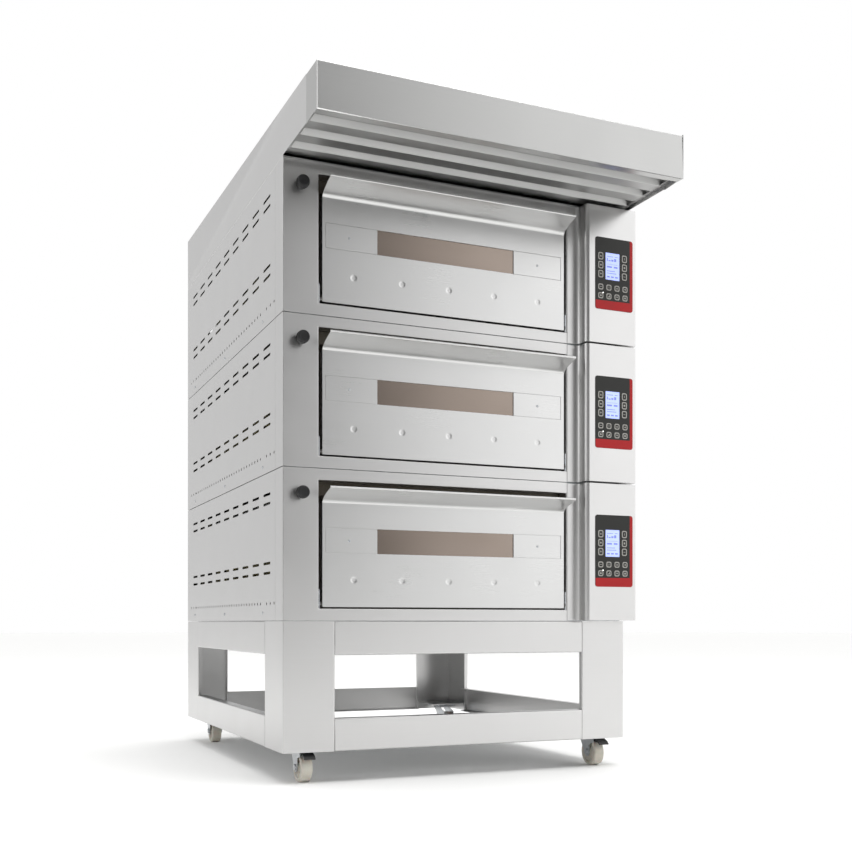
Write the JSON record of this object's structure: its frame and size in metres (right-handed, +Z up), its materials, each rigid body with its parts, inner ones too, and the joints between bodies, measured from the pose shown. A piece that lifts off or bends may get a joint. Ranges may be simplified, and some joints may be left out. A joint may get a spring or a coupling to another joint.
{
  "type": "deck oven",
  "caption": "Electric stone-hearth deck oven with stacked baking decks, drop-down doors, side control boxes, a louvred vapour hood and an open stand on castors.",
  "frame": {"origin": "on the floor, under the middle of the whole object's box", "axes": "+X to the right as seen from the front, +Y to the rear, +Z up; the doors face -Y"},
  "size_m": [1.0022, 1.485, 1.7639],
  "materials": {
    "stainless": "satin",
    "door_stainless": "satin",
    "zinc_steel": "satin",
    "spring_steel": "satin",
    "castor_nylon": "satin",
    "black_plastic": "satin",
    "chamber_steel": "satin",
    "mineral_wool": "matte",
    "gasket_fibre": "matte",
    "hearth_stone": "matte",
    "element_sheath": "satin",
    "lamp_glass": "gloss",
    "keypad_film": "satin",
    "display_glass": "gloss",
    "circuit_board": "satin",
    "window_glass": "gloss",
    "motor_paint": "satin"
  },
  "bodies": {
    "oven": {"stand_legs": "stainless", "stand_rails": "stainless", "left_covers": "stainless", "right_covers": "stainless", "rear_covers": "stainless", "front_frame_1": "stainless", "front_frame_2": "stainless", "front_frame_3": "stainless", "control_box_1": "stainless", "control_box_2": "stainless", "control_box_3": "stainless", "hood_shell": "stainless", "hood_fascia": "stainless", "hood_louvres": "stainless", "castor_plates": "zinc_steel", "chassis": "zinc_steel", "steam_flues": "zinc_steel", "door_hinges": "zinc_steel", "cover_screws": "zinc_steel", "fan_housing": "zinc_steel", "door_springs": "spring_steel", "cable_glands": "black_plastic", "chamber_1": "chamber_steel", "chamber_2": "chamber_steel", "chamber_3": "chamber_steel", "insulation": "mineral_wool", "door_gaskets": "gasket_fibre", "hearth_stones": "hearth_stone", "heating_elements": "element_sheath", "lamps": "lamp_glass", "keypads": "keypad_film", "displays": "display_glass", "electrical_gear": "circuit_board", "fan_motor": "motor_paint"},
    "door_1": {"door_panel_1": "door_stainless", "door_glass_1": "window_glass", "door_liner_1": "chamber_steel"},
    "vent_1": {"vent_knob_1": "black_plastic", "vent_rod_1": "zinc_steel"},
    "door_2": {"door_panel_2": "door_stainless", "door_glass_2": "window_glass", "door_liner_2": "chamber_steel"},
    "vent_2": {"vent_knob_2": "black_plastic", "vent_rod_2": "zinc_steel"},
    "door_3": {"door_panel_3": "door_stainless", "door_glass_3": "window_glass", "door_liner_3": "chamber_steel"},
    "vent_3": {"vent_knob_3": "black_plastic", "vent_rod_3": "zinc_steel"},
    "castor_front_left": {"castor_fork_front_left": "zinc_steel"},
    "wheel_front_left": {"castor_wheel_front_left": "castor_nylon"},
    "castor_front_right": {"castor_fork_front_right": "zinc_steel"},
    "wheel_front_right": {"castor_wheel_front_right": "castor_nylon"},
    "castor_rear_left": {"castor_fork_rear_left": "zinc_steel"},
    "wheel_rear_left": {"castor_wheel_rear_left": "castor_nylon"},
    "castor_rear_right": {"castor_fork_rear_right": "zinc_steel"},
    "wheel_rear_right": {"castor_wheel_rear_right": "castor_nylon"},
    "brake_left": {"brake_pedal_front_left": "black_plastic"},
    "brake_right": {"brake_pedal_front_right": "black_plastic"},
    "impeller": {"fan_impeller": "zinc_steel"}
  },
  "joints": [
    {"name": "door_1_hinge", "type": "hinge", "parent": "oven", "child": "door_1", "pos_m": [-0.0514, -0.4585, 0.448], "axis": [1, 0, 0], "range_deg": [0, 90], "stiffness_Nm_per_rad": 2, "springref_deg": -22.92},
    {"name": "vent_1_pull", "type": "slide", "parent": "oven", "child": "vent_1", "axis": [0, -1, 0], "range_m": [0, 0.06]},
    {"name": "door_2_hinge", "type": "hinge", "parent": "oven", "child": "door_2", "pos_m": [-0.0514, -0.4585, 0.828], "axis": [1, 0, 0], "range_deg": [0, 90], "stiffness_Nm_per_rad": 2, "springref_deg": -22.92},
    {"name": "vent_2_pull", "type": "slide", "parent": "oven", "child": "vent_2", "axis": [0, -1, 0], "range_m": [0, 0.06]},
    {"name": "door_3_hinge", "type": "hinge", "parent": "oven", "child": "door_3", "pos_m": [-0.0514, -0.4585, 1.208], "axis": [1, 0, 0], "range_deg": [0, 90], "stiffness_Nm_per_rad": 2, "springref_deg": -22.92},
    {"name": "vent_3_pull", "type": "slide", "parent": "oven", "child": "vent_3", "axis": [0, -1, 0], "range_m": [0, 0.06]},
    {"name": "castor_front_left_swivel", "type": "hinge", "parent": "oven", "child": "castor_front_left", "pos_m": [-0.4314, -0.3815, 0.093], "axis": [0, 0, 1], "continuous": true},
    {"name": "wheel_front_left_roll", "type": "hinge", "parent": "castor_front_left", "child": "wheel_front_left", "pos_m": [-0.4314, -0.4135, 0.0375], "axis": [1, 0, 0], "continuous": true},
    {"name": "castor_front_right_swivel", "type": "hinge", "parent": "oven", "child": "castor_front_right", "pos_m": [0.4186, -0.3815, 0.093], "axis": [0, 0, 1], "continuous": true},
    {"name": "wheel_front_right_roll", "type": "hinge", "parent": "castor_front_right", "child": "wheel_front_right", "pos_m": [0.4186, -0.4135, 0.0375], "axis": [1, 0, 0], "continuous": true},
    {"name": "castor_rear_left_swivel", "type": "hinge", "parent": "oven", "child": "castor_rear_left", "pos_m": [-0.4314, 0.6335, 0.093], "axis": [0, 0, 1], "continuous": true},
    {"name": "wheel_rear_left_roll", "type": "hinge", "parent": "castor_rear_left", "child": "wheel_rear_left", "pos_m": [-0.4314, 0.6015, 0.0375], "axis": [1, 0, 0], "continuous": true},
    {"name": "castor_rear_right_swivel", "type": "hinge", "parent": "oven", "child": "castor_rear_right", "pos_m": [0.4186, 0.6335, 0.093], "axis": [0, 0, 1], "continuous": true},
    {"name": "wheel_rear_right_roll", "type": "hinge", "parent": "castor_rear_right", "child": "wheel_rear_right", "pos_m": [0.4186, 0.6015, 0.0375], "axis": [1, 0, 0], "continuous": true},
    {"name": "brake_left_pedal", "type": "hinge", "parent": "castor_front_left", "child": "brake_left", "pos_m": [-0.4314, -0.4415, 0.0725], "axis": [1, 0, 0], "range_deg": [-15, 0]},
    {"name": "brake_right_pedal", "type": "hinge", "parent": "castor_front_right", "child": "brake_right", "pos_m": [0.4186, -0.4415, 0.0725], "axis": [1, 0, 0], "range_deg": [-15, 0]},
    {"name": "impeller_spin", "type": "hinge", "parent": "oven", "child": "impeller", "pos_m": [-0.0064, 0.4585, 1.625], "axis": [0, 0, 1], "continuous": true}
  ]
}
